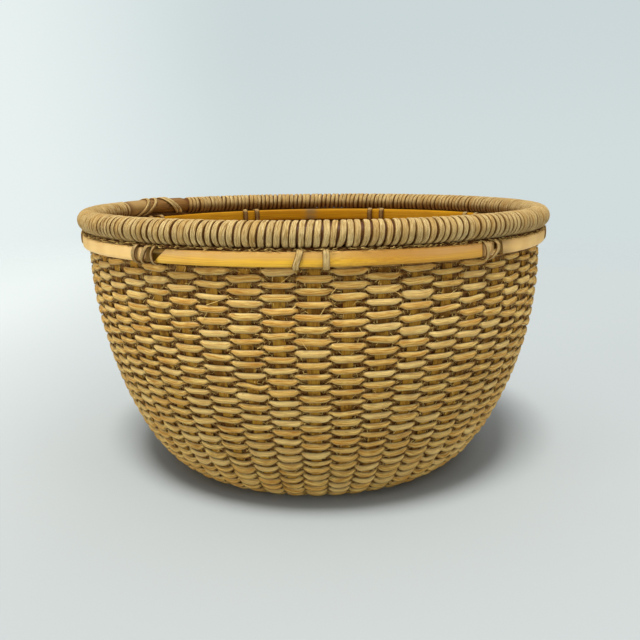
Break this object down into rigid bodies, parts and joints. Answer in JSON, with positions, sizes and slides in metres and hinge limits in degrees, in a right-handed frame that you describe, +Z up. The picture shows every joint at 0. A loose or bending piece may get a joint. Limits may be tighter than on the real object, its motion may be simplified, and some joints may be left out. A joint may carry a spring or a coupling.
{
  "type": "open round basket",
  "caption": "Open round woven bowl basket: flat stakes and cane weavers, bamboo hoops tied round the top edge, and a rim rod bound with cane.",
  "frame": {"origin": "on the table, under the middle of the base", "axes": "+Z up through the open mouth; the front, with two ties side by side, faces -Y; +X to the right of the front"},
  "size_m": [0.2997, 0.2998, 0.1681],
  "materials": {
    "weaver_cane": "golden split cane, dry and matt",
    "stake_splint": "raw splint with fibrous edges",
    "hoop_bamboo": "smooth amber bamboo skin",
    "binding_cane": "aged grey-tan cane, worn pale on the ridges",
    "rod_bark": "smooth dark brown rod"
  },
  "bodies": {
    "root": {"splint_lower_01": "stake_splint", "splint_lower_02": "stake_splint", "splint_lower_03": "stake_splint", "splint_lower_04": "stake_splint", "splint_lower_05": "stake_splint", "splint_lower_06": "stake_splint", "splint_lower_07": "stake_splint", "splint_lower_08": "stake_splint", "splint_lower_09": "stake_splint", "splint_lower_10": "stake_splint", "splint_lower_11": "stake_splint", "splint_lower_12": "stake_splint", "splint_lower_13": "stake_splint", "splint_upper_01": "stake_splint", "splint_upper_02": "stake_splint", "splint_upper_03": "stake_splint", "splint_upper_04": "stake_splint", "splint_upper_05": "stake_splint", "splint_upper_06": "stake_splint", "splint_upper_07": "stake_splint", "splint_upper_08": "stake_splint", "splint_upper_09": "stake_splint", "splint_upper_10": "stake_splint", "splint_upper_11": "stake_splint", "splint_upper_12": "stake_splint", "splint_upper_13": "stake_splint", "weaver_a_1": "weaver_cane", "weaver_a_2": "weaver_cane", "weaver_a_3": "weaver_cane", "weaver_a_4": "weaver_cane", "weaver_a_5": "weaver_cane", "weaver_a_6": "weaver_cane", "weaver_b_1": "weaver_cane", "weaver_b_2": "weaver_cane", "weaver_b_3": "weaver_cane", "weaver_b_4": "weaver_cane", "weaver_b_5": "weaver_cane", "weaver_b_6": "weaver_cane", "top_row": "weaver_cane", "outer_hoop_front": "hoop_bamboo", "outer_hoop_rear": "hoop_bamboo", "inner_hoop": "hoop_bamboo", "rim_rod": "rod_bark", "rim_binding_1": "binding_cane", "rim_binding_2": "binding_cane", "rim_binding_3": "binding_cane", "rim_binding_4": "binding_cane", "rim_binding_5": "binding_cane", "rim_binding_6": "binding_cane", "hoop_tie_1": "binding_cane", "hoop_tie_2": "binding_cane", "hoop_tie_3": "binding_cane", "hoop_tie_4": "binding_cane", "hoop_tie_5": "binding_cane", "hoop_tie_6": "binding_cane", "hoop_tie_7": "binding_cane", "hoop_tie_8": "binding_cane", "hoop_tie_9": "binding_cane", "rim_lashing_left": "binding_cane", "rim_lashing_right": "binding_cane"}
  },
  "joints": []
}
